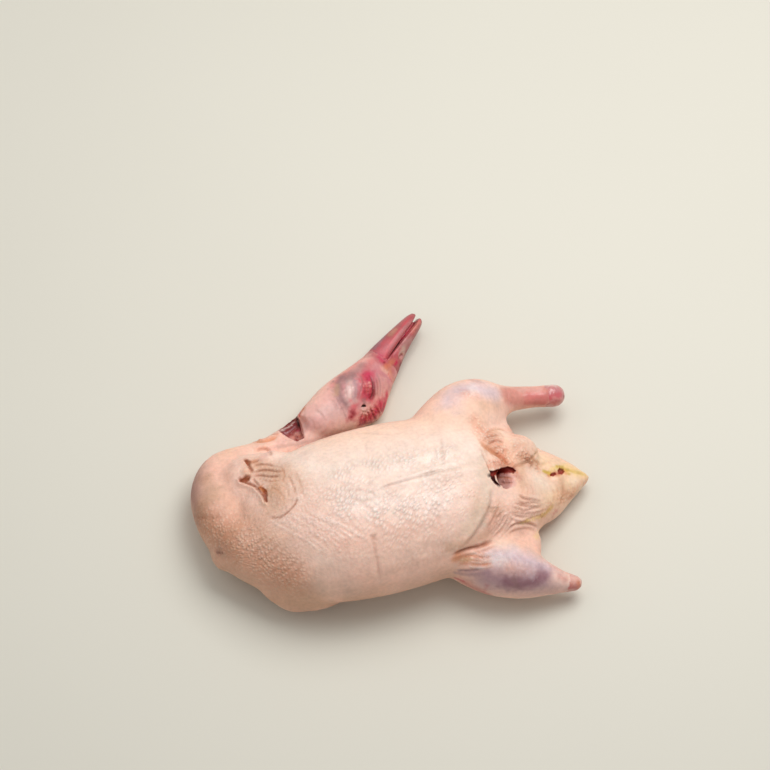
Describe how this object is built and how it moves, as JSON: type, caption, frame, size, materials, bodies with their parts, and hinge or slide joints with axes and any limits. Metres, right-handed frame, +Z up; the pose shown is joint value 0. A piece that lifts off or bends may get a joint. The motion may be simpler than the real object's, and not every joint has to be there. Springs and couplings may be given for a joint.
{
  "type": "dressed pekin duck",
  "caption": "Life-size model of a plucked and dressed duck with head and neck, lying on its back with its neck folded round.",
  "frame": {"origin": "on the floor, at the flat of the back under the keel at mid breast", "axes": "+X towards the tail along the body, +Y towards the bird's left side, +Z up, from the back through the breast"},
  "size_m": [0.3623, 0.3097, 0.1014],
  "materials": {
    "skin": "moist plucked skin, pale cream and pink, mauve over the thighs",
    "joint": "raw red end of the cut leg",
    "bill": "satin, pinkish red",
    "tongue": "moist, dark pink",
    "eye": "wet and dark"
  },
  "bodies": {
    "root": {"torso": "skin", "tail": "skin", "neck_lower": "skin", "neck_upper": "skin", "head": "skin", "leg_left_thigh": "skin", "leg_right_thigh": "skin", "leg_left_drumstick": "skin", "leg_right_drumstick": "skin", "leg_left_hock": "joint", "leg_right_hock": "joint", "wing_left_upper": "skin", "wing_right_upper": "skin", "wing_left_forearm": "skin", "wing_right_forearm": "skin", "wing_left_tip": "skin", "wing_right_tip": "skin", "bill_upper": "bill", "bill_lower": "bill", "tongue": "tongue", "eye_left": "eye", "eye_right": "eye"}
  },
  "joints": []
}
